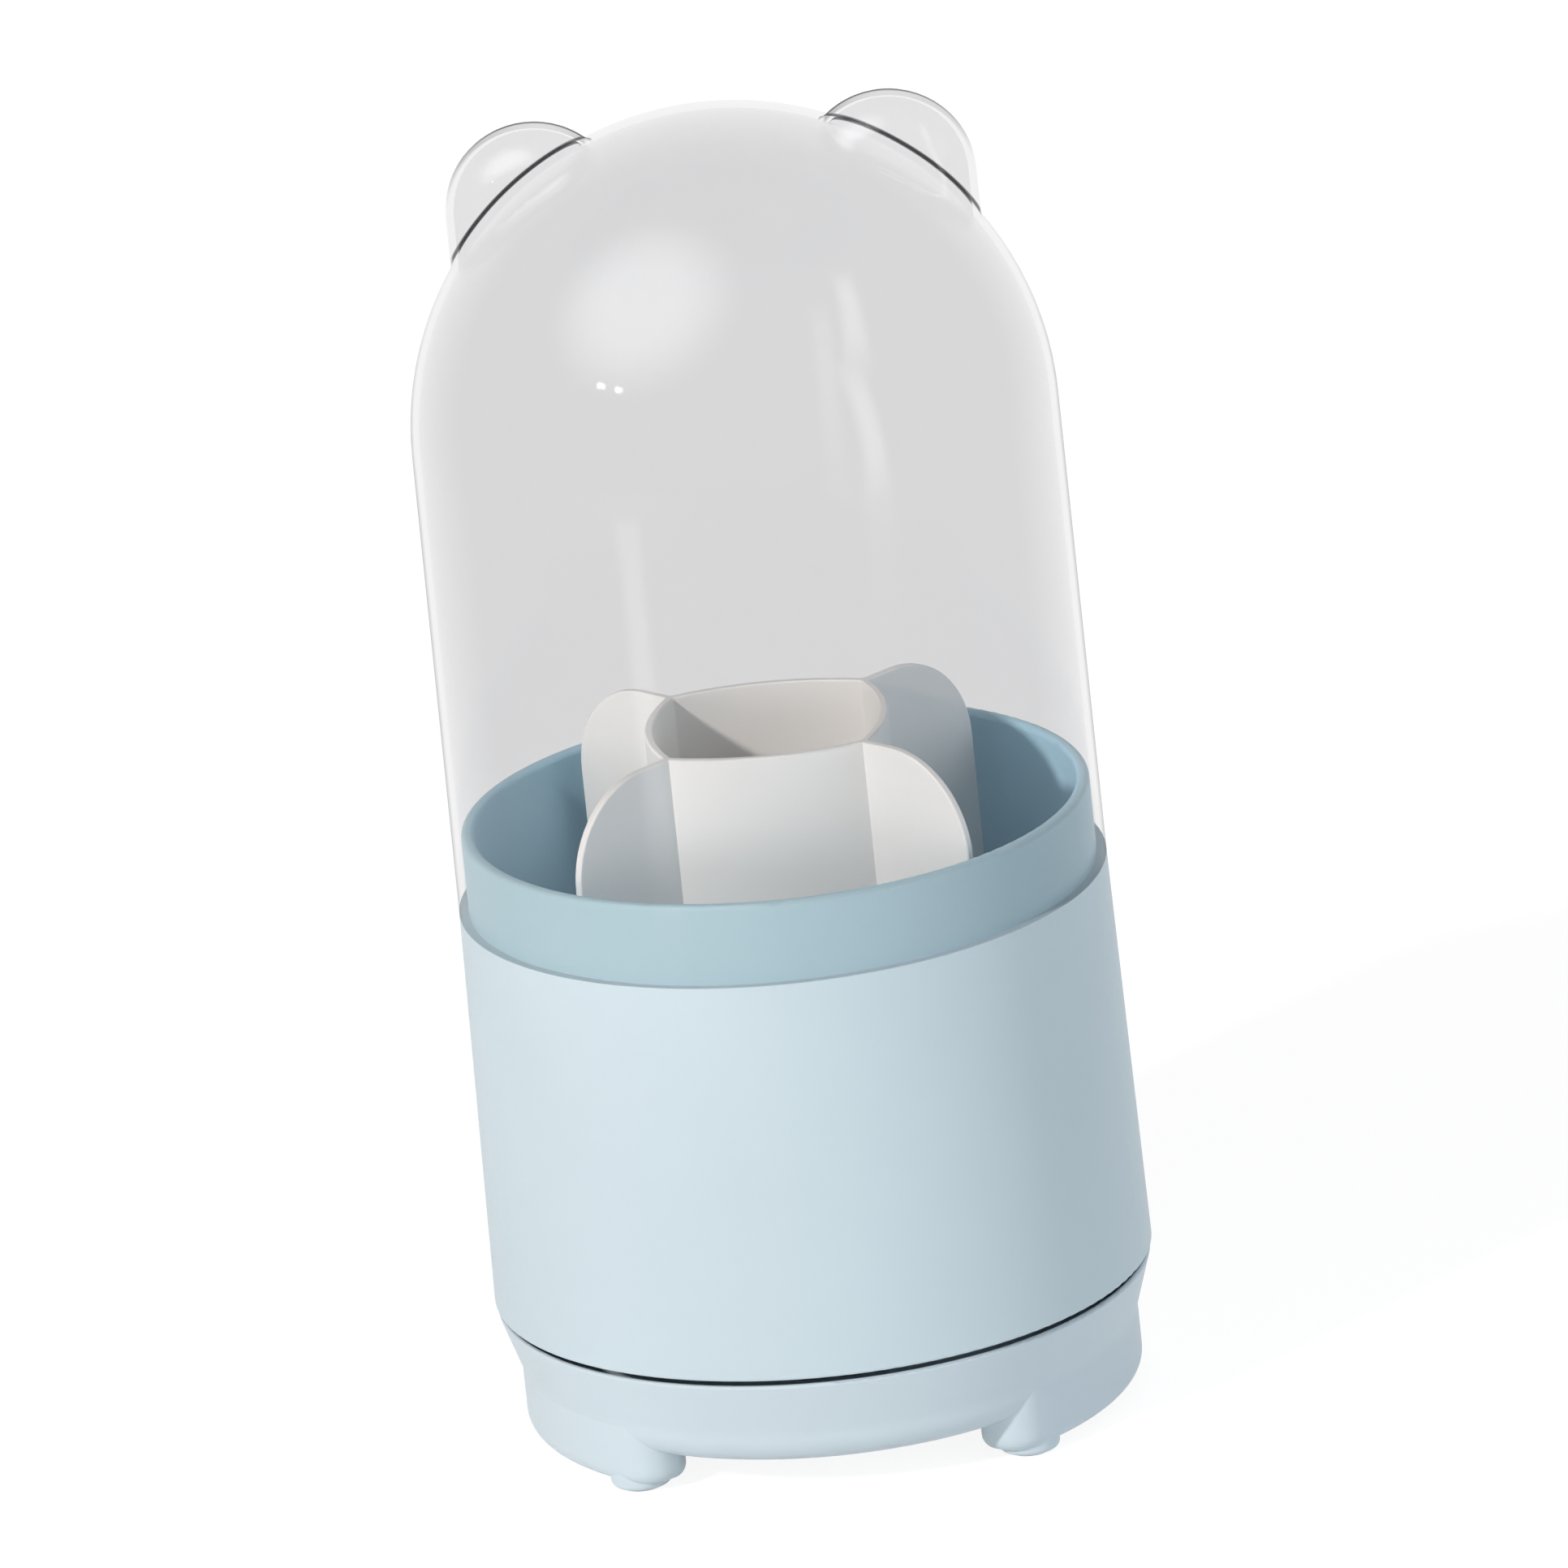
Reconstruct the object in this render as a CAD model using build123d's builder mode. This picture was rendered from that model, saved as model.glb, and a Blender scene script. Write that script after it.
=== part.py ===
"""Turning makeup brush box: a tub on a ball-bearing base, a finned insert and a clear eared lid.

Millimetres, +Z up, origin on the floor under the middle of the base. The front faces -Y.
"""
import os
from math import cos, hypot, radians, sin, tan

from build123d import *

# Tub
body_radius = 62.5  # outside, at the seam
body_height = 77.6  # seam to shoulder
body_draft = 0.95  # degrees
neck_height = 15.5
neck_wall = 2.5
cup_draft = 0.7  # degrees, inside wall
cup_floor_height = 4.7  # seam to the inside floor
cup_floor_thickness = 2.7
cup_corner_round = 3.0
ring_wall = 6.5  # bottom edge of the wall, under the floor
rim_round = 1.1
tub_edge_round = 0.5

# Seam between the tub and the base
seam_gap = 1.15

# Base
base_height = 25.65  # floor to the top lip
base_lip_inset = 0.3  # inside the tub's outer edge
base_taper = 3.6  # from the lip in to the waist
base_round = 6.5  # from the waist to the underside
base_flare_round = 12.0  # from the waist out to the lip
base_underside = 7.8  # above the floor
base_wall = 2.4
base_lip_width = 0.9  # the wall thins to this at its top
base_edge_round = 0.5

# Side feet and the four pegs that they stand on
foot_underside = 1.9
foot_depth = 11.0  # along the radius
foot_end_angle = 54.0  # degrees from X, where a foot's slanted end meets the waist
foot_end_slant = 50.9  # degrees from Y
foot_edge_round = 3.0
foot_end_share = 0.6  # radius of the outer upright corners, of the foot's depth
peg_inset = 6.1  # peg centres in from the waist
peg_angle = 44.25  # degrees, from the front and from the back
peg_bottom_radius = 5.7
peg_top_radius = 6.0
peg_height = 5.0
peg_edge_round = 1.2
pad_radius = 4.0
pad_thickness = 1.0
pad_proud = 0.4
pad_clearance = 0.05

# Ball race between the base and the tub
ball_radius = 3.0
ball_count = 12
ball_drop = 3.5  # ball centres below the base's lip
ball_play = 0.12  # in the grooves
pocket_play = 0.12  # in the cage
race_inset = 21.5  # ball centres in from the tub's outside
race_width = 8.0
race_half_gap = 1.8
cage_width = 9.0
cage_thickness = 2.4

# Pivot
stem_radius = 5.0
stem_clearance = 0.06
boss_wall = 2.2
boss_gap = 1.0  # under the tub's floor
washer_radius = 8.5
washer_thickness = 0.8
washer_hole_clearance = 0.15
washer_play = 0.3
recess_clearance = 1.0  # round the washer
screw_radius = 2.0
screw_length = 12.0
screw_head_radius = 4.0
screw_head_height = 2.4
screw_clearance = 0.03
driver_slot_width = 1.0
driver_slot_depth = 1.2
cover_thickness = 2.0
cover_gap = 1.4
cover_clearance = 0.05

# Insert
insert_height = 104.8
insert_wall = 1.6
tube_share = 0.3406  # half the side of the square, of the cup's radius
tube_bow = 4.0  # the sides bulge out by this much
tube_corner_round = 1.0
fin_gap = 3.78  # to the cup's wall at the floor
fin_round_share = 0.7134  # top corner's radius, of the fin's width
insert_edge_round = 0.4

# Lid
lid_wall = 1.5
lid_clearance = 0.35  # round the neck
lid_seat_gap = 0.03  # over the shoulder
lid_straight = 90.1  # shoulder to the dome's centre
lid_draft = 0.34  # degrees
lid_edge_round = 0.4
ear_angle = 36.29  # degrees, ear centres from the top of the dome
ear_sink = 4.65  # ear centres below the dome's surface
ear_radius = 16.5
ear_half_depth = 10.5
ear_edge_round = 9.0
ear_root_round = 2.5

# Levels and radii that follow
seam_level = base_height + seam_gap
shoulder_level = seam_level + body_height
rim_level = shoulder_level + neck_height
cup_floor_level = seam_level + cup_floor_height
cup_under_level = cup_floor_level - cup_floor_thickness
shoulder_radius = body_radius - body_height * tan(radians(body_draft))
lid_inner_radius = shoulder_radius - lid_wall
neck_radius = lid_inner_radius - lid_clearance
cup_top_radius = neck_radius - neck_wall
cup_floor_radius = cup_top_radius - (rim_level - cup_floor_level) * tan(radians(cup_draft))
base_lip_radius = body_radius - base_lip_inset
base_waist_radius = base_lip_radius - base_taper
base_waist_level = base_underside + base_round
foot_corner_round = 1.2 * foot_edge_round  # has to be rounder than the edge below it
foot_end_round = foot_end_share * foot_depth
peg_ring_radius = base_waist_radius - peg_inset
peg_spacing_x = 2 * peg_ring_radius * sin(radians(peg_angle))
peg_spacing_y = 2 * peg_ring_radius * cos(radians(peg_angle))
race_radius = body_radius - race_inset
ball_level = base_height - ball_drop
recess_radius = washer_radius + recess_clearance
boss_radius = recess_radius + boss_wall
screw_head_level = base_underside + cover_thickness + cover_gap
washer_level = screw_head_level + screw_head_height
stem_level = washer_level + washer_thickness
seat_level = stem_level + washer_play
boss_level = cup_under_level - boss_gap
lid_level = shoulder_level + lid_seat_gap
dome_level = shoulder_level + lid_straight
dome_radius = (shoulder_radius - lid_straight * tan(radians(lid_draft))) * cos(radians(lid_draft))
ear_distance = dome_radius - ear_sink
ear_spread = ear_distance * sin(radians(ear_angle))
ear_lift = ear_distance * cos(radians(ear_angle))
insert_level = cup_floor_level + insert_height
tube_corner = tube_share * cup_floor_radius
fin_root = tube_corner * 2**0.5 - insert_wall / 2
fin_radius = cup_floor_radius - fin_gap
fin_top_round = fin_round_share * (fin_radius - fin_root)

os.makedirs("parts", exist_ok=True)


def race_groove():
    """The round groove that the balls roll in, as a section to be turned about Z."""
    with BuildSketch(Plane.XZ) as groove:
        with Locations((race_radius, ball_level)):
            Circle(ball_radius + ball_play)
    return groove.sketch


# Base: a bowl on two side feet, with the lower race, the pivot's boss and four pegs
with BuildPart() as base:
    with BuildSketch(Plane.XY.offset(foot_underside)) as feet:
        Circle(base_waist_radius)
        Circle(base_waist_radius - foot_depth, mode=Mode.SUBTRACT)
        end_x = base_waist_radius * cos(radians(foot_end_angle))
        end_y = base_waist_radius * sin(radians(foot_end_angle))
        gap_near = end_y - 1.2 * foot_depth
        gap_far = base_waist_radius + foot_depth
        half_near = end_x + (gap_near - end_y) * tan(radians(foot_end_slant))
        half_far = end_x + (gap_far - end_y) * tan(radians(foot_end_slant))
        for side in (-1, 1):
            with BuildLine():
                Polyline(
                    (-half_near, side * gap_near),
                    (-half_far, side * gap_far),
                    (half_far, side * gap_far),
                    (half_near, side * gap_near),
                    close=True,
                )
            make_face(mode=Mode.SUBTRACT)
        foot_ends = feet.vertices().filter_by(lambda point: abs(point.Y) > gap_near)
        fillet(foot_ends.group_by(lambda point: round(hypot(point.X, point.Y)))[0], foot_corner_round)
        foot_ends = feet.vertices().filter_by(lambda point: abs(point.Y) > gap_near)
        fillet(foot_ends.group_by(lambda point: round(hypot(point.X, point.Y)))[-1], foot_end_round)
    extrude(amount=base_waist_level - foot_underside)
    fillet(base.faces().group_by(Axis.Z)[0].edges(), foot_edge_round)
    with BuildSketch(Plane.XZ) as bowl:
        with BuildLine():
            flat = Line((0, base_underside), (base_waist_radius - base_round, base_underside))
            corner = JernArc(flat @ 1, (1, 0), base_round, 90)
            Polyline(corner @ 1, (base_lip_radius, base_height), (0, base_height), (0, base_underside))
        make_face()
        fillet(bowl.vertices().group_by(Axis.X)[-2], base_flare_round)
    revolve(axis=Axis.Z)
    fillet(base.edges().filter_by(GeomType.CIRCLE).group_by(Axis.Z)[-1], base_edge_round)
    with GridLocations(peg_spacing_x, peg_spacing_y, 2, 2):
        with Locations((0, 0, pad_proud)):
            Cone(
                peg_bottom_radius,
                peg_top_radius,
                peg_height,
                align=(Align.CENTER, Align.CENTER, Align.MIN),
            )
    fillet(base.edges().filter_by(GeomType.CIRCLE).group_by(Axis.Z)[0], peg_edge_round)
    with BuildSketch(Plane.XZ):
        with BuildLine():
            inner_floor = base_underside + base_wall
            inner_round = base_round - base_wall
            flat = Line((0, inner_floor), (base_waist_radius - base_round, inner_floor))
            corner = JernArc(flat @ 1, (1, 0), inner_round, 90)
            Polyline(
                corner @ 1,
                (base_lip_radius - base_lip_width, base_height),
                (0, base_height),
                (0, inner_floor),
            )
        make_face()
    revolve(axis=Axis.Z, mode=Mode.SUBTRACT)
    with BuildSketch(Plane.XY.offset(base_underside)):
        Circle(race_radius + race_width / 2)
        Circle(race_radius - race_width / 2, mode=Mode.SUBTRACT)
    extrude(amount=ball_level - race_half_gap - base_underside)
    with BuildSketch(Plane.XY.offset(base_underside)):
        Circle(boss_radius)
    extrude(amount=boss_level - base_underside)
    add(race_groove())
    revolve(axis=Axis.Z, mode=Mode.SUBTRACT)
    with BuildSketch(Plane.XY.offset(base_underside)):
        Circle(recess_radius)
    extrude(amount=seat_level - base_underside, mode=Mode.SUBTRACT)
    with BuildSketch(Plane.XY.offset(base_underside)):
        Circle(stem_radius + stem_clearance)
    extrude(amount=boss_level - base_underside, mode=Mode.SUBTRACT)
    with BuildSketch(Plane.XY.offset(pad_proud)):
        with GridLocations(peg_spacing_x, peg_spacing_y, 2, 2):
            Circle(pad_radius + pad_clearance)
    extrude(amount=pad_thickness - pad_proud, mode=Mode.SUBTRACT)
base.part.label = "base"
export_step(base.part, "parts/base.step")

# Foot pads: soft discs let into the pegs
with BuildPart() as foot_pads:
    with BuildSketch():
        with GridLocations(peg_spacing_x, peg_spacing_y, 2, 2):
            Circle(pad_radius)
    extrude(amount=pad_thickness)
foot_pads.part.label = "foot_pads"
export_step(foot_pads.part, "parts/foot_pads.step")

# Screw cover: plug in the recess under the base
with BuildPart() as screw_cover:
    with BuildSketch(Plane.XY.offset(base_underside)):
        Circle(recess_radius - cover_clearance)
    extrude(amount=cover_thickness)
screw_cover.part.label = "screw_cover"
export_step(screw_cover.part, "parts/screw_cover.step")

# Ball cage: ring with a pocket for each ball
with BuildPart() as ball_cage:
    with BuildSketch(Plane.XY.offset(ball_level - cage_thickness / 2)):
        Circle(race_radius + cage_width / 2)
        Circle(race_radius - cage_width / 2, mode=Mode.SUBTRACT)
        with PolarLocations(race_radius, ball_count):
            Circle(ball_radius + pocket_play, mode=Mode.SUBTRACT)
    extrude(amount=cage_thickness)
ball_cage.part.label = "ball_cage"
export_step(ball_cage.part, "parts/ball_cage.step")

# Bearing balls
with BuildPart() as bearing_balls:
    with Locations((0, 0, ball_level)):
        with PolarLocations(race_radius, ball_count):
            Sphere(ball_radius)
bearing_balls.part.label = "bearing_balls"
export_step(bearing_balls.part, "parts/bearing_balls.step")

# Bucket: the tub, with the neck for the lid, the upper race and the pivot's stem
with BuildPart() as bucket:
    with BuildSketch(Plane.XZ):
        with BuildLine():
            Polyline(
                (0, cup_under_level),
                (body_radius - ring_wall, cup_under_level),
                (body_radius - ring_wall, seam_level),
                (body_radius, seam_level),
                (shoulder_radius, shoulder_level),
                (neck_radius, shoulder_level),
                (neck_radius, rim_level),
                (cup_top_radius, rim_level),
                (cup_floor_radius, cup_floor_level),
                (0, cup_floor_level),
                close=True,
            )
        make_face()
    revolve(axis=Axis.Z)
    circles = bucket.edges().filter_by(GeomType.CIRCLE)
    fillet(circles.group_by(Axis.Z)[-1], rim_round)
    seam_edge = circles.group_by(Axis.Z)[0].sort_by(SortBy.RADIUS)[-1]
    fillet(seam_edge, tub_edge_round)
    floor_edge = bucket.faces().filter_by(Plane.XY).group_by(Axis.Z)[-3].edges()
    fillet(floor_edge, cup_corner_round)
    with BuildSketch(Plane.XY.offset(ball_level + race_half_gap)):
        Circle(race_radius + race_width / 2)
        Circle(race_radius - race_width / 2, mode=Mode.SUBTRACT)
    extrude(until=Until.NEXT)
    add(race_groove())
    revolve(axis=Axis.Z, mode=Mode.SUBTRACT)
    with BuildSketch(Plane.XY.offset(stem_level)):
        Circle(stem_radius)
    extrude(amount=cup_under_level - stem_level)
    with BuildSketch(Plane.XY.offset(stem_level)):
        Circle(screw_radius + screw_clearance)
    extrude(amount=screw_length, mode=Mode.SUBTRACT)
bucket.part.label = "bucket"
export_step(bucket.part, "parts/bucket.step")

# Pivot washer
with BuildPart() as pivot_washer:
    with BuildSketch(Plane.XY.offset(washer_level)):
        Circle(washer_radius)
        Circle(screw_radius + washer_hole_clearance, mode=Mode.SUBTRACT)
    extrude(amount=washer_thickness)
pivot_washer.part.label = "pivot_washer"
export_step(pivot_washer.part, "parts/pivot_washer.step")

# Pivot screw: pan head with a cross recess, driven up into the stem
with BuildPart() as pivot_screw:
    with BuildSketch(Plane.XY.offset(screw_head_level)):
        Circle(screw_head_radius)
    extrude(amount=screw_head_height)
    fillet(pivot_screw.edges().group_by(Axis.Z)[0], screw_head_height / 3)
    with BuildSketch(Plane.XY.offset(screw_head_level)):
        Rectangle(screw_head_radius, driver_slot_width)
        Rectangle(driver_slot_width, screw_head_radius)
    extrude(amount=driver_slot_depth, mode=Mode.SUBTRACT)
    with BuildSketch(Plane.XY.offset(washer_level)):
        Circle(screw_radius)
    extrude(amount=washer_thickness + screw_length)
    chamfer(pivot_screw.edges().group_by(Axis.Z)[-1], screw_radius / 3)
pivot_screw.part.label = "pivot_screw"
export_step(pivot_screw.part, "parts/pivot_screw.step")

# Insert's fin: a plate along +X with its free edges rounded
with BuildPart() as fin:
    with BuildSketch(Plane.XZ):
        with BuildLine():
            tip = Line((fin_radius, cup_floor_level), (fin_radius, insert_level - fin_top_round))
            bend = JernArc(tip @ 1, (0, 1), fin_top_round, 90)
            Polyline(
                bend @ 1,
                (fin_root, insert_level),
                (fin_root, cup_floor_level),
                (fin_radius, cup_floor_level),
            )
        make_face()
    extrude(amount=insert_wall / 2, both=True)
    upright = fin.edges().filter_by(Axis.Z).group_by(Axis.X)[-1]
    level = fin.edges().filter_by(Axis.X).group_by(Axis.Z)[-1]
    fillet(upright + level + fin.edges().filter_by(GeomType.CIRCLE), insert_edge_round)

# Divider: bowed square tube with a fin at each corner
with BuildPart() as divider:
    with BuildSketch(Plane.XY.offset(cup_floor_level)):
        corners = [(1, -1), (1, 1), (-1, 1), (-1, -1)]
        with BuildLine():
            for index, (x_side, y_side) in enumerate(corners):
                next_x, next_y = corners[(index + 1) % len(corners)]
                SagittaArc(
                    (x_side * tube_corner, y_side * tube_corner),
                    (next_x * tube_corner, next_y * tube_corner),
                    -tube_bow,
                )
        make_face()
        offset(amount=-insert_wall, kind=Kind.INTERSECTION, mode=Mode.SUBTRACT)
    extrude(amount=insert_height)
    fillet(divider.edges().filter_by(Axis.Z), tube_corner_round)
    fillet(divider.faces().sort_by(Axis.Z)[-1].edges(), insert_edge_round)
    with PolarLocations(0, len(corners), 45):
        add(fin.part)
divider.part.label = "divider"
export_step(divider.part, "parts/divider.step")


def dome_section(inset):
    """The lid's turned section, drawn in from its outer face by the inset."""
    radius = dome_radius - inset
    lean = radians(lid_draft)
    touch = (radius * cos(lean), dome_level + radius * sin(lean))
    foot = (touch[0] + (touch[1] - lid_level) * tan(lean), lid_level)
    top = (0, dome_level + radius)
    with BuildSketch(Plane.YZ) as section:
        with BuildLine():
            Polyline((0, lid_level), foot, touch)
            RadiusArc(touch, top, -radius)
            Line(top, (0, lid_level))
        make_face()
    return section.sketch


def ear_bump(side, inset):
    """One ear, an arch with rounded edges, drawn in from its outer face by the inset."""
    with BuildPart() as bump:
        with BuildSketch(Plane.XZ):
            with Locations((side * ear_spread, dome_level + ear_lift)):
                Circle(ear_radius - inset)
                Rectangle(2 * (ear_radius - inset), ear_lift, align=(Align.CENTER, Align.MAX))
        extrude(amount=ear_half_depth - inset, both=True)
        outline = bump.edges().filter_by(GeomType.CIRCLE) + bump.edges().filter_by(Axis.Z)
        fillet(outline, ear_edge_round - inset)
    return bump.part


def lid_form(inset):
    """The dome with its ears as one solid, drawn in from the outer face by the inset."""
    ears = [ear_bump(side, inset) for side in (-1, 1)]
    with BuildPart() as form:
        add(dome_section(inset))
        revolve(axis=Axis.Z)
        add(ears)
        dome = form.faces().filter_by(GeomType.SPHERE).sort_by(SortBy.AREA)[-1]
        roots = [edge for wire in dome.inner_wires() for edge in wire.edges()]
        fillet(roots, ear_root_round + inset)
    return form.part


# Lid: clear dome with two hollow ears
lid_outside = lid_form(0)
lid_inside = lid_form(lid_wall)
with BuildPart() as lid:
    add(lid_outside)
    add(lid_inside, mode=Mode.SUBTRACT)
    fillet(lid.faces().sort_by(Axis.Z)[0].edges(), lid_edge_round)
lid.part.label = "lid"
export_step(lid.part, "parts/lid.step")
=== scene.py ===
from math import cos, pi, radians, sin

import bpy
from mathutils import Matrix, Vector

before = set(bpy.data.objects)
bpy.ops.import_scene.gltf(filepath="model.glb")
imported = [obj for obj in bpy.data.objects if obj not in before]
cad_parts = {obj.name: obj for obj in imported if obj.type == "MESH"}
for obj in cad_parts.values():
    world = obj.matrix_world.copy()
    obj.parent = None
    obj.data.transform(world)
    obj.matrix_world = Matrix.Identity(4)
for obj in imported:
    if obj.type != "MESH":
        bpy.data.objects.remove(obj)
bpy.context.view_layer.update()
scene = bpy.context.scene
scene.view_settings.view_transform = "Standard"

# Places on the CAD solids that the materials follow, in metres
shoulder_level, neck_level = 0.1044, 0.1048  # the tub's shoulder, and where the neck's colour is full
rim_inside, rim_outside = 0.0570, 0.0588  # distances from the axis on the neck's top edge
dome_level, dome_radius = 0.1945, 0.06068  # the centre and the outside of the lid's dome
lid_lean = 0.00593  # how far the lid's wall leans out for each metre down
lid_half_wall = 0.00075
ear_centre = Vector((0.03316, 0, 0.23966))  # of the ear on the right
ear_inside = 0.0153  # radius between an ear's outer and inner faces


class Nodes:
    """A material's, lamp's or world's node tree, with short ways to add to it."""

    def __init__(self, owner):
        owner.use_nodes = True
        self.tree = owner.node_tree
        self.tree.nodes.clear()

    def plug(self, socket, value):
        """Links another node's output to a socket, or sets the socket to a constant."""
        if isinstance(value, bpy.types.NodeSocket):
            self.tree.links.new(value, socket)
        else:
            socket.default_value = value

    def add(self, kind, settings=None, **sockets):
        """Adds a node. A socket is named with _ for a space, or by its place as i0, i1, i2."""
        made = self.tree.nodes.new(kind)
        for key, value in (settings or {}).items():
            setattr(made, key, value)
        for key, value in sockets.items():
            by_place = key[0] == "i" and key[1:].isdigit()
            socket = int(key[1:]) if by_place else key.replace("_", " ")
            self.plug(made.inputs[socket], value)
        return made

    def math(self, operation, *values):
        made = self.add("ShaderNodeMath", {"operation": operation})
        for socket, value in zip(made.inputs, values):
            self.plug(socket, value)
        return made.outputs[0]

    def product(self, first, *others):
        for other in others:
            first = self.math("MULTIPLY", first, other)
        return first

    def dimmed(self, value, mask, share):
        """A value that loses a share of itself where the mask is 1."""
        return self.product(value, self.math("SUBTRACT", 1.0, self.product(mask, share)))

    def spread(self, value, low, high, start=0.0, end=1.0):
        """Maps value from start..end to low..high."""
        made = self.add(
            "ShaderNodeMapRange", Value=value, From_Min=start, From_Max=end, To_Min=low, To_Max=high
        )
        return made.outputs["Result"]

    def blend(self, factor, first, second):
        """A colour between two colours."""
        made = self.add("ShaderNodeMix", {"data_type": "RGBA"}, Factor=factor, A=first, B=second)
        return made.outputs["Result"]

    def vector(self, operation, first, second=(0, 0, 0)):
        return self.add("ShaderNodeVectorMath", {"operation": operation}, i0=first, i1=second)

    def length(self, x=0.0, y=0.0, z=0.0):
        arrow = self.add("ShaderNodeCombineXYZ", X=x, Y=y, Z=z).outputs[0]
        return self.vector("LENGTH", arrow).outputs["Value"]

    def split(self, vector):
        return self.add("ShaderNodeSeparateXYZ", Vector=vector).outputs

    def position(self):
        return self.add("ShaderNodeTexCoord").outputs["Object"]

    def noise(self, scale, detail=2.0):
        made = self.add("ShaderNodeTexNoise", Vector=self.position(), Scale=scale, Detail=detail)
        return made.outputs["Fac"]

    def bump(self, height, strength, depth):
        made = self.add("ShaderNodeBump", Height=height, Strength=strength, Distance=depth)
        return made.outputs["Normal"]


def srgb(red, green, blue):
    """Linear colour of an 8-bit screen colour."""
    def linear(value):
        value /= 255
        return value / 12.92 if value <= 0.04045 else ((value + 0.055) / 1.055) ** 2.4
    return linear(red), linear(green), linear(blue), 1.0


def grey(value):
    return value, value, value, 1.0


def new_material(name):
    material = bpy.data.materials.new(name)
    return material, Nodes(material)


def moulded_plastic(name, colours, roughness, grain, neck=None, inner=None):
    """Satin moulding: faint flow clouds, a fine spark-eroded grain and uneven gloss.
    Each of colours, neck and inner is a pair that the clouds lie between. neck is a more saturated painted
    shade for the tub above its shoulder, and inner a more saturated painted shade for the faces inside its
    rim."""
    material, nodes = new_material(name)
    clouds = nodes.spread(nodes.noise(18.0, 3.0), 0, 1, 0.3, 0.7)
    fine = nodes.noise(2600.0)
    pores = nodes.noise(900.0, 1.0)
    height = nodes.math("ADD", nodes.product(fine, 0.6), nodes.product(pores, 0.4))
    colour = nodes.blend(clouds, *colours)
    # painted shade: a more saturated blue on the neck above the shoulder
    if neck:
        level = nodes.split(nodes.position())["Z"]
        on_neck = nodes.spread(level, 0, 1, shoulder_level, neck_level)
        colour = nodes.blend(on_neck, colour, nodes.blend(clouds, *neck))
    # painted shade: a more saturated blue on the faces inside the rim
    if inner:
        x, y = nodes.split(nodes.position())[:2]
        inside = nodes.spread(nodes.length(x, y), 1, 0, rim_inside, rim_outside)
        colour = nodes.blend(inside, colour, nodes.blend(clouds, *inner))
    shade = nodes.add(
        "ShaderNodeBsdfPrincipled",
        Base_Color=colour,
        Roughness=nodes.spread(pores, roughness - 0.05, roughness + 0.05, 0.3, 0.7),
        Normal=nodes.bump(height, strength=grain, depth=0.0001),
        IOR=1.49,
        Specular_IOR_Level=0.2,
    )
    nodes.add("ShaderNodeOutputMaterial", Surface=shade.outputs[0])
    return material


def proud_of_dome(nodes, x, y, z):
    """How far a point of the lid stands out of the dome, or of the wall below it."""
    above = nodes.math("MAXIMUM", nodes.math("SUBTRACT", z, dome_level), 0.0)
    below = nodes.math("MAXIMUM", nodes.math("SUBTRACT", dome_level, z), 0.0)
    skin = nodes.math("ADD", nodes.product(below, lid_lean), dome_radius)
    return nodes.math("SUBTRACT", nodes.length(x, y, above), skin)


def ear_outline(nodes, facing, side, z):
    """1 where a painted dark line lies on the outline of an ear's outer face, fading out away from its
    upper inner side.
    """
    out = nodes.math("SUBTRACT", side, ear_centre.x)
    up = nodes.math("SUBTRACT", z, ear_centre.z)
    up_and_in = nodes.math("ADD", nodes.product(out, -0.5), nodes.product(up, 0.87))
    outer_face = nodes.math("GREATER_THAN", nodes.length(x=out, z=up), ear_inside)
    edge = nodes.spread(facing, 0, 1, 0.66, 0.86)
    return nodes.product(edge, nodes.spread(up_and_in, 0, 1, -0.006, 0.012), outer_face)


def lid_clearness(nodes, facing):
    """How much light one face of the lid lets through. Each face is tinted grey, with a painted lightening
    towards its edges. A thin painted dark line lies at the outline, and painted dark arcs stand in for the
    ears' thick roots bending the light away. Lengths are in metres, and facing goes from 0 square on to 1
    edge on."""
    x, y, z = nodes.split(nodes.position())
    side = nodes.math("ABSOLUTE", x)
    proud = proud_of_dome(nodes, x, y, z)
    on_ear = nodes.spread(proud, 0, 1, 0.0008, 0.0014)

    # painted shade: thin dark lines along the outline of the lid's wall, low down, and of the ears
    low_down = nodes.spread(z, 0.35, 0, 0.20, 0.235)
    wall_line = nodes.product(nodes.spread(facing, 0, 1, 0.86, 0.97), low_down)
    ear_line = nodes.product(ear_outline(nodes, facing, side, z), on_ear)
    line = nodes.math("MAXIMUM", ear_line, wall_line)

    # painted shade: dark arcs at the back of the ears' roots, standing in for light bent away there
    root_start = nodes.spread(proud, 0, 1, 0.0002, 0.0004)
    root_end = nodes.spread(proud, 1, 0, 0.0009, 0.0012)
    behind = nodes.spread(y, 0, 1, 0.001, 0.004)
    near_ears = nodes.spread(side, 0, 1, 0.012, 0.016)
    arc = nodes.product(root_start, root_end, behind, near_ears)

    # painted lightening: each face's tint clears towards its edges
    square_on = 0.908  # let through by either face, looked at square on
    edge_tone = nodes.spread(facing, square_on, 0.95, 0.5, 0.92)
    tone = nodes.math("MAXIMUM", edge_tone, nodes.spread(on_ear, square_on, 0.935))
    outer = nodes.dimmed(nodes.dimmed(tone, line, share=0.7), arc, share=0.8)
    inner = nodes.spread(facing, square_on, 0.985, 0.5, 1.0)
    outside = nodes.math("GREATER_THAN", proud, -lid_half_wall)
    inside = nodes.math("SUBTRACT", 1.0, outside)
    return nodes.math("ADD", nodes.product(outside, outer), nodes.product(inside, inner))


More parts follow.
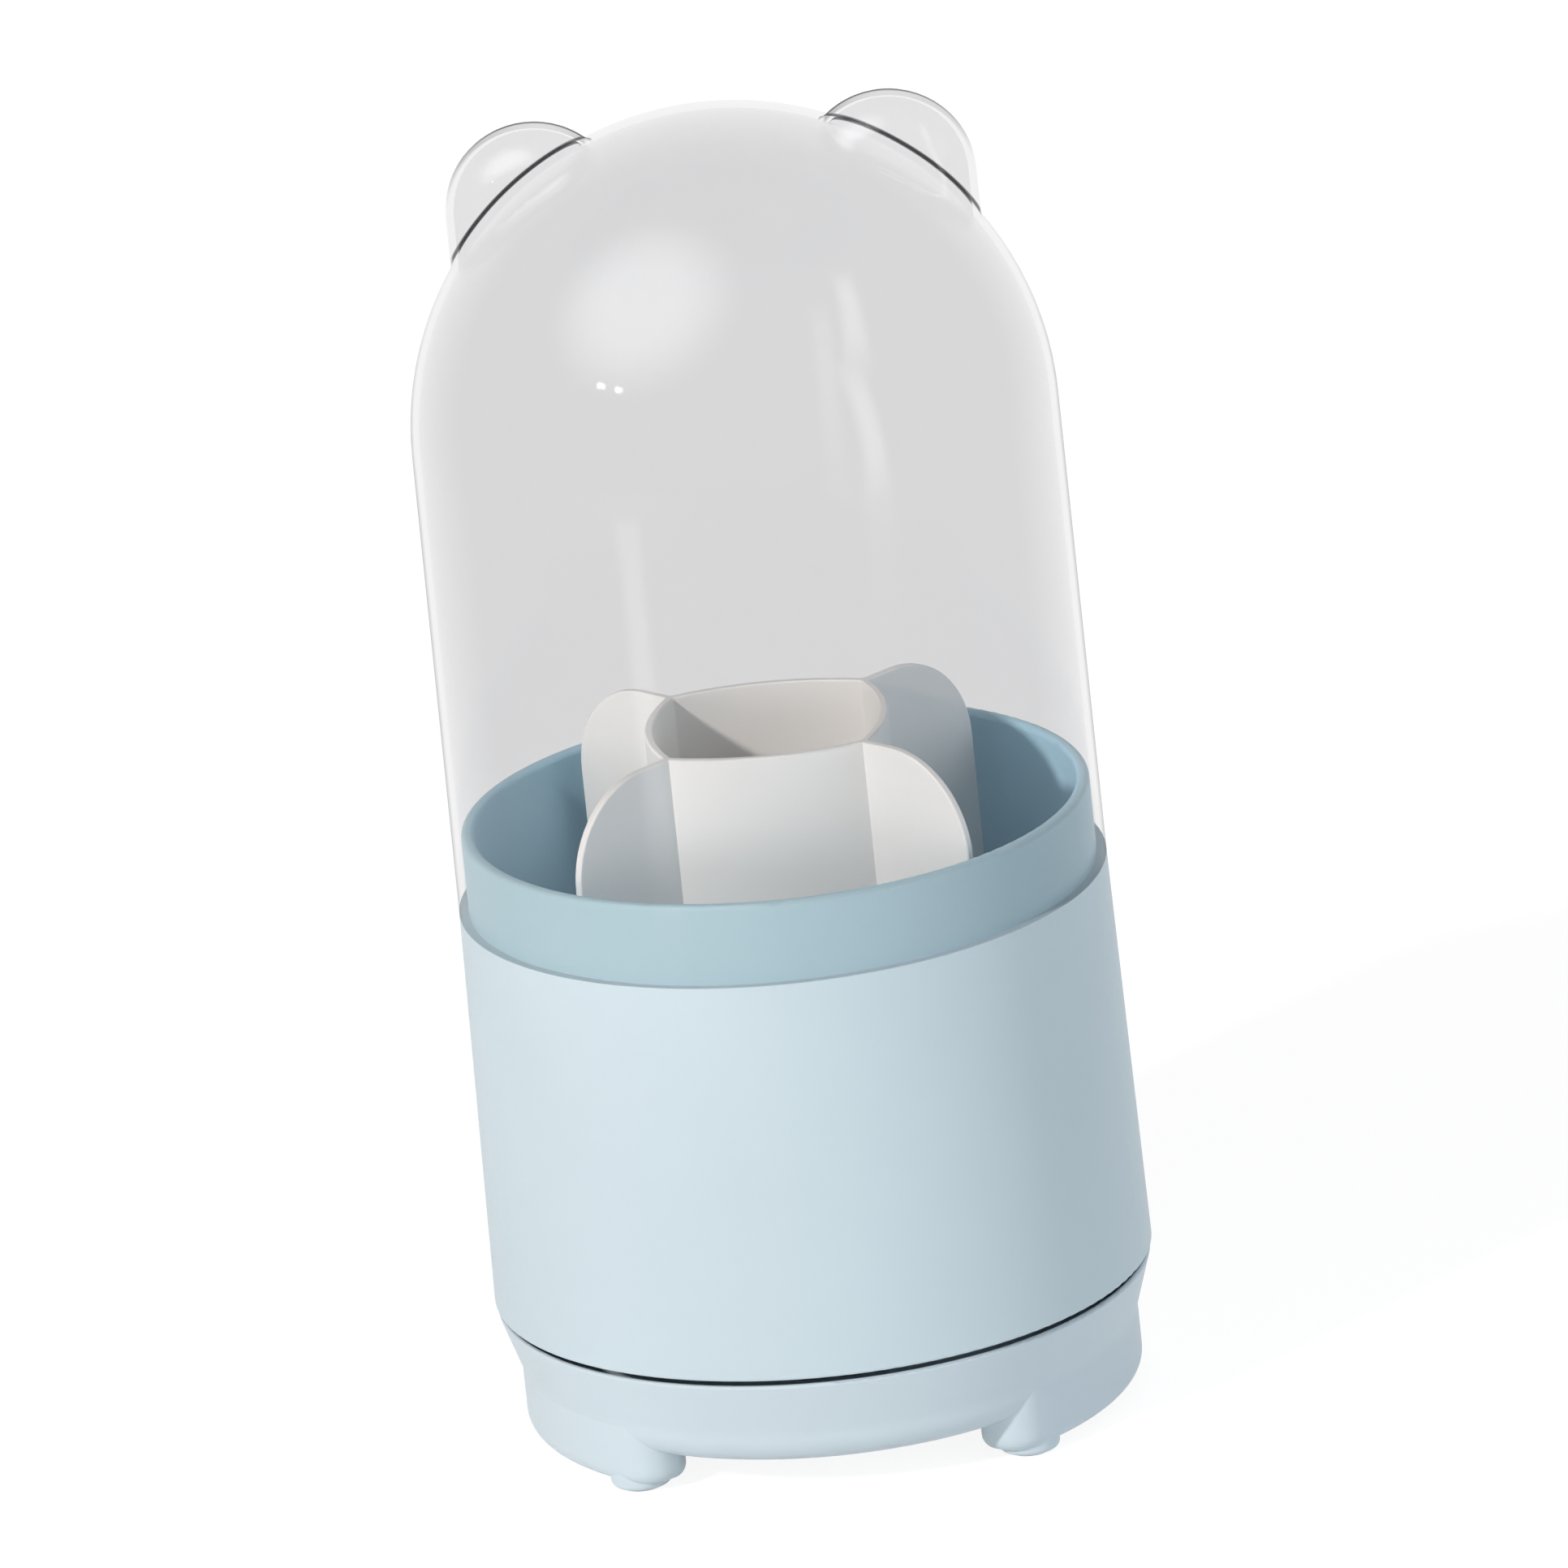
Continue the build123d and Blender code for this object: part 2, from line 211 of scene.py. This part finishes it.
def clear_plastic(name):
    """Polished clear shell, with a faintly rippled shine that grows towards its edges."""
    material, nodes = new_material(name)
    facing = nodes.add("ShaderNodeLayerWeight", Blend=0.5).outputs["Facing"]
    tint = nodes.blend(lid_clearness(nodes, facing), (0, 0, 0.004, 1), (0.997, 0.997, 1, 1))
    film = nodes.add("ShaderNodeBsdfTransparent", Color=tint)
    gloss = nodes.add(
        "ShaderNodeBsdfPrincipled",
        Base_Color=(0.92, 0.92, 0.925, 1),
        Metallic=1.0,
        Roughness=nodes.spread(nodes.noise(60.0, 3.0), 0.03, 0.07, 0.3, 0.7),
        Normal=nodes.bump(nodes.noise(30.0), strength=0.008, depth=0.001),
    )
    shine = nodes.spread(nodes.math("POWER", facing, 5.0), 0.012, 0.12)
    seen = nodes.add("ShaderNodeMixShader", Fac=shine, i1=film.outputs[0], i2=gloss.outputs[0])
    lit_through = nodes.add("ShaderNodeBsdfTransparent", Color=grey(0.99))
    to_lamps = nodes.add("ShaderNodeLightPath").outputs["Is Shadow Ray"]
    both = nodes.add("ShaderNodeMixShader", Fac=to_lamps, i1=seen.outputs[0], i2=lit_through.outputs[0])
    nodes.add("ShaderNodeOutputMaterial", Surface=both.outputs[0])
    return material


def ground_steel(name):
    """Turned or ground steel, clouded and finely scored."""
    material, nodes = new_material(name)
    scores = nodes.noise(700.0, 3.0)
    shade = nodes.add(
        "ShaderNodeBsdfPrincipled",
        Base_Color=nodes.blend(scores, (0.50, 0.51, 0.53, 1), (0.66, 0.67, 0.69, 1)),
        Metallic=1.0,
        Roughness=nodes.spread(scores, 0.18, 0.32, 0.3, 0.7),
        Normal=nodes.bump(scores, strength=0.08, depth=0.0001),
    )
    nodes.add("ShaderNodeOutputMaterial", Surface=shade.outputs[0])
    return material


def soft_rubber(name):
    """Pale rubber with a pitted, dusty face."""
    material, nodes = new_material(name)
    pits = nodes.noise(1800.0, 4.0)
    shade = nodes.add(
        "ShaderNodeBsdfPrincipled",
        Base_Color=nodes.blend(pits, (0.50, 0.52, 0.54, 1), (0.62, 0.64, 0.66, 1)),
        Roughness=nodes.spread(pits, 0.7, 0.9, 0.3, 0.7),
        Normal=nodes.bump(pits, strength=0.4, depth=0.0002),
    )
    nodes.add("ShaderNodeOutputMaterial", Surface=shade.outputs[0])
    return material


# Finishes of the CAD nodes
# painted light: the base and screw cover take a lighter copy of the tub's blue, standing in for more light
# on the base's feet
base_lit_colours = srgb(196, 210, 218), srgb(200, 214, 222)
tub_colours = srgb(191, 207, 215), srgb(195, 211, 219)
# painted shade: more saturated copies of the tub's blue for its neck and the faces inside its rim
neck_shade_colours = srgb(182, 210, 220), srgb(186, 214, 224)
inner_shade_colours = srgb(189, 229, 249), srgb(193, 233, 253)
insert_colours = srgb(246, 245, 243), srgb(249, 248, 246)
cage_colours = srgb(214, 212, 204), srgb(222, 220, 212)
blue = moulded_plastic("pastel_blue", base_lit_colours, roughness=0.42, grain=0.08)
tub_blue = moulded_plastic(
    "tub_blue", tub_colours, roughness=0.42, grain=0.08, neck=neck_shade_colours, inner=inner_shade_colours
)
white = moulded_plastic("white_insert", insert_colours, roughness=0.38, grain=0.06)
nylon = moulded_plastic("cage_nylon", cage_colours, roughness=0.5, grain=0.1)
steel = ground_steel("bearing_steel")
finishes = {
    "base": blue,
    "bucket": tub_blue,
    "screw_cover": blue,
    "divider": white,
    "lid": clear_plastic("clear_shell"),
    "ball_cage": nylon,
    "bearing_balls": steel,
    "pivot_washer": steel,
    "pivot_screw": steel,
    "foot_pads": soft_rubber("pad_rubber"),
}
for name, material in finishes.items():
    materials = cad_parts[name].data.materials
    materials.clear()
    materials.append(material)


def seen_rays(nodes):
    """1 for rays that show the background: from the camera, or by a mirror or a clear wall."""
    path = nodes.add("ShaderNodeLightPath").outputs
    mirrored = nodes.math("MAXIMUM", path["Is Glossy Ray"], path["Is Transmission Ray"])
    return nodes.math("MAXIMUM", path["Is Camera Ray"], mirrored)


def studio_world():
    """Soft light from all round, in front of a white background."""
    scene.world = bpy.data.worlds.new("studio")
    nodes = Nodes(scene.world)
    fill = nodes.add("ShaderNodeBackground", Color=grey(1.0), Strength=0.32)
    paper = nodes.add("ShaderNodeBackground", Color=grey(1.0), Strength=1.0)
    both = nodes.add("ShaderNodeMixShader", Fac=seen_rays(nodes), i1=fill.outputs[0], i2=paper.outputs[0])
    nodes.add("ShaderNodeOutputWorld", Surface=both.outputs[0])


def paper_floor():
    """A wide pale floor that looks white and keeps a faint shadow."""
    bpy.ops.mesh.primitive_circle_add(vertices=96, radius=6.0, fill_type="NGON")
    floor = bpy.context.object
    floor.name = "floor"
    material, nodes = new_material("paper_floor")
    bounce = nodes.add("ShaderNodeBsdfDiffuse", Color=grey(0.9))
    shadowed = nodes.add("ShaderNodeBsdfDiffuse", Color=grey(0.2))
    lift = nodes.add("ShaderNodeEmission", Strength=0.895)
    paper = nodes.add("ShaderNodeAddShader", i0=shadowed.outputs[0], i1=lift.outputs[0])
    both = nodes.add("ShaderNodeMixShader", Fac=seen_rays(nodes), i1=bounce.outputs[0], i2=paper.outputs[0])
    nodes.add("ShaderNodeOutputMaterial", Surface=both.outputs[0])
    floor.data.materials.append(material)


studio_world()
paper_floor()

# Lamps, placed from about the middle of the object or from its axis
middle = Vector((0, 0, 0.14))
dome_middle = middle + Vector((0, 0, 0.06))
streak_distance = 0.3  # of the upright cards, from the axis
view_turn = 2.2  # degrees, the photo's view from the front towards the right


def aim(heading, height, distance):
    """A point seen from the middle at a compass heading from the photo's view and an angle above level."""
    heading, height = radians(heading + view_turn), radians(height)
    level = cos(height)
    return middle + distance * Vector((sin(heading) * level, -cos(heading) * level, sin(height)))


def beside(heading, distance, across, height):
    """A point on an upright plane that faces the axis at a compass heading from the photo's view."""
    heading = radians(heading + view_turn)
    out, along = Vector((sin(heading), -cos(heading), 0)), Vector((cos(heading), sin(heading), 0))
    return out * distance + along * across + Vector((0, 0, height))


def new_lamp(name, shape, width, length, power, colour=(1, 1, 1)):
    data = bpy.data.lights.new(name, "AREA")
    data.shape = shape
    data.size = width
    data.size_y = length
    data.energy = power
    data.color = colour
    lamp = bpy.data.objects.new(name, data)
    lamp.visible_camera = False
    scene.collection.objects.link(lamp)
    return lamp


def studio_lamp(name, heading, height, distance, size, power, colour=(1, 1, 1)):
    """A round lamp that lights the object and isn't seen in its polished faces."""
    lamp = new_lamp(name, "DISK", size, size, power, colour)
    lamp.location = aim(heading, height, distance)
    lamp.rotation_euler = (middle - lamp.location).to_track_quat("-Z", "Y").to_euler()
    lamp.visible_glossy = False


def soft_card(name, place, target, shape, width, length, glow, turn=0.0):
    """A soft-edged card that only polished faces show. turn is in degrees, about its own middle."""
    lamp = new_lamp(name, shape, width, length, glow * pi * width * length)
    facing = (Vector(target) - Vector(place)).to_track_quat("-Z", "Y").to_matrix().to_4x4()
    lamp.matrix_world = Matrix.Translation(place) @ facing @ Matrix.Rotation(radians(turn), 4, "Z")
    lamp.visible_diffuse = False
    nodes = Nodes(lamp.data)
    spot = nodes.add("ShaderNodeNewGeometry").outputs["Parametric"]
    spot = nodes.vector("SUBTRACT", spot, (0.5, 0.5, 0)).outputs[0]
    if shape == "RECTANGLE":
        across, along = nodes.split(spot)[:2]
        edge = nodes.math("MAXIMUM", nodes.math("ABSOLUTE", across), nodes.math("ABSOLUTE", along))
    else:
        edge = nodes.vector("LENGTH", spot).outputs["Value"]
    full, ended = 0.12, 0.5  # from the card's middle, as shares of its width
    fade = nodes.add("ShaderNodeMapRange", {"interpolation_type": "SMOOTHSTEP"},
                     Value=edge, From_Min=full, From_Max=ended, To_Min=1.0, To_Max=0.0)
    light = nodes.add("ShaderNodeEmission", Strength=fade.outputs["Result"])
    nodes.add("ShaderNodeOutputLight", Surface=light.outputs[0])


def streak(name, heading, across, height, width, length, glow, turn=0.0):
    """An upright card close to the lid, which shows as a streak in its wall."""
    place = beside(heading, streak_distance, across, height)
    soft_card(name, place, (0, 0, height), "RECTANGLE", width, length, glow, turn)


warm, cool = (1.0, 0.945, 0.90), (0.89, 1.0, 1.09)
studio_lamp("key", heading=-43, height=26, distance=1.8, size=0.10, power=19.0, colour=warm)
studio_lamp("side_fill", heading=62, height=8, distance=1.2, size=0.9, power=4.2, colour=cool)
studio_lamp("front_fill", heading=-34, height=-1, distance=1.4, size=0.6, power=4.7)
studio_lamp("back_fill", heading=172, height=15, distance=1.3, size=0.9, power=2.0)
above_left = aim(heading=-52, height=58.5, distance=0.9)
soft_card("dome_glow", above_left, dome_middle, "DISK", width=1.2, length=1.2, glow=5.0)
streak("right_streak", heading=47, across=-0.014, height=0.235, width=0.06, length=0.30, glow=4.5)
streak(
    "right_streak_top", heading=47, across=0.067, height=0.465, width=0.08, length=0.36, glow=4.5, turn=-28
)
streak("left_streak", heading=-43, across=0.023, height=0.09, width=0.06, length=0.125, glow=3.0)
for number, heading in enumerate((-52.6, -44.8)):
    place = aim(heading, height=31.2, distance=0.8)
    soft_card("sparkle_%d" % number, place, dome_middle, "DISK", width=0.036, length=0.036, glow=45.0)

# Camera at the photo's view, fitted to the tub's rim, shoulder and seam
camera_place = (0.002086, -3.79590, 1.38447)
camera_tilt, camera_roll = 71.618, -5.962  # degrees
camera = bpy.data.objects.new("camera", bpy.data.cameras.new("camera"))
camera.data.sensor_width = 36.0
camera.data.lens = 488.65
camera.data.clip_end = 100.0
camera.matrix_world = (
    Matrix.Rotation(radians(view_turn), 4, "Z")
    @ Matrix.Translation(camera_place)
    @ Matrix.Rotation(radians(camera_tilt), 4, "X")
    @ Matrix.Rotation(radians(camera_roll), 4, "Z")
)
scene.collection.objects.link(camera)
scene.camera = camera
